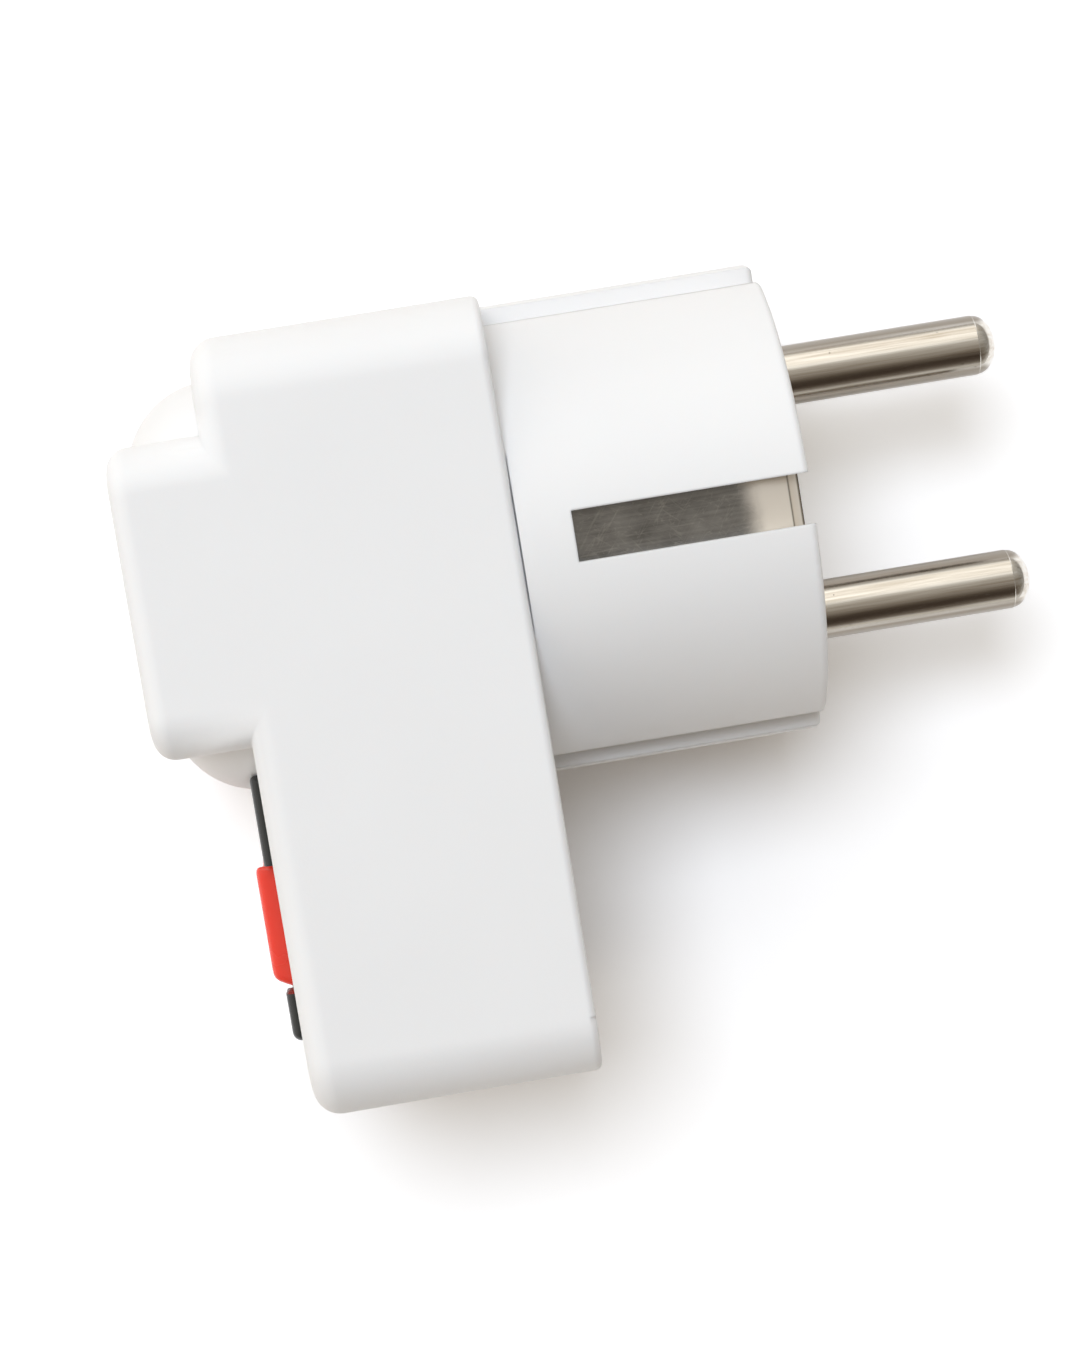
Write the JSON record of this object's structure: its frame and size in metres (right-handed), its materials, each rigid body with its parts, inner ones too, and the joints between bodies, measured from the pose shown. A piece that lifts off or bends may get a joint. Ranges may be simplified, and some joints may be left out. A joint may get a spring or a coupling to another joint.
{
  "type": "travel adapter",
  "caption": "White travel plug adapter: earthed round-pin plug on one end, multi-pattern socket boss on the other, with a red rocker switch in a black bezel below it.",
  "frame": {"origin": "on the side face that the adapter rests on, below the plug axis and midway through the housing's depth", "axes": "+X along the plug axis towards the pins, +Y from the switch towards the socket end, +Z across the housing, up from the resting face"},
  "size_m": [0.0698, 0.059, 0.0375],
  "materials": {
    "housing_white": "satin-gloss moulded plastic, lightly textured",
    "face_white": "satin moulded plastic",
    "carrier_ivory": "matt moulded plastic",
    "switch_black": "satin-gloss black plastic",
    "rocker_red": "glossy translucent red plastic",
    "pin_nickel": "nickel plating with fine handling scratches",
    "earth_steel": "rolled strip, dull grey with a polished bent end",
    "contact_brass": "bare stamped brass",
    "bus_brass": "bare stamped brass",
    "contact_silver": "silvered contact strip",
    "screw_steel": "zinc-plated steel",
    "spring_steel": "bright spring wire",
    "plunger_white": "matt slippery plastic"
  },
  "bodies": {
    "housing": {"front_housing": "housing_white", "socket_face": "face_white", "plug_body": "housing_white", "pin_carrier": "carrier_ivory", "line_pin": "pin_nickel", "neutral_pin": "pin_nickel", "earth_strip": "earth_steel", "switch_frame": "switch_black", "common_terminal": "contact_brass", "output_terminal": "contact_brass", "contact_carrier": "carrier_ivory", "line_contact": "contact_brass", "neutral_contact": "contact_brass", "earth_contact": "contact_brass", "contact_rivets": "screw_steel", "line_bus": "bus_brass", "switched_bus": "bus_brass", "neutral_bus": "bus_brass", "earth_bus": "bus_brass", "cover_screws": "screw_steel", "carrier_screws": "screw_steel"},
    "rocker": {"rocker": "rocker_red", "plunger_spring": "spring_steel"},
    "plunger": {"plunger": "plunger_white"},
    "contact_lever": {"contact_lever": "contact_silver"}
  },
  "joints": [
    {"name": "rocker_tilt", "type": "hinge", "parent": "housing", "child": "rocker", "pos_m": [-0.0093, -0.025, 0.01875], "axis": [0, 0, 1], "range_deg": [0, 20]},
    {"name": "plunger_slide", "type": "slide", "parent": "rocker", "child": "plunger", "axis": [0.9848, -0.1736, 0], "range_m": [-0.0003, 0], "stiffness_N_per_m": 200},
    {"name": "lever_tilt", "type": "hinge", "parent": "housing", "child": "contact_lever", "pos_m": [-0.00222, -0.025, 0.01875], "axis": [0, 0, 1], "range_deg": [-12, 0]}
  ],
  "couplings": [
    {"joint": "lever_tilt", "follows": "rocker_tilt", "ratio": -0.6}
  ]
}
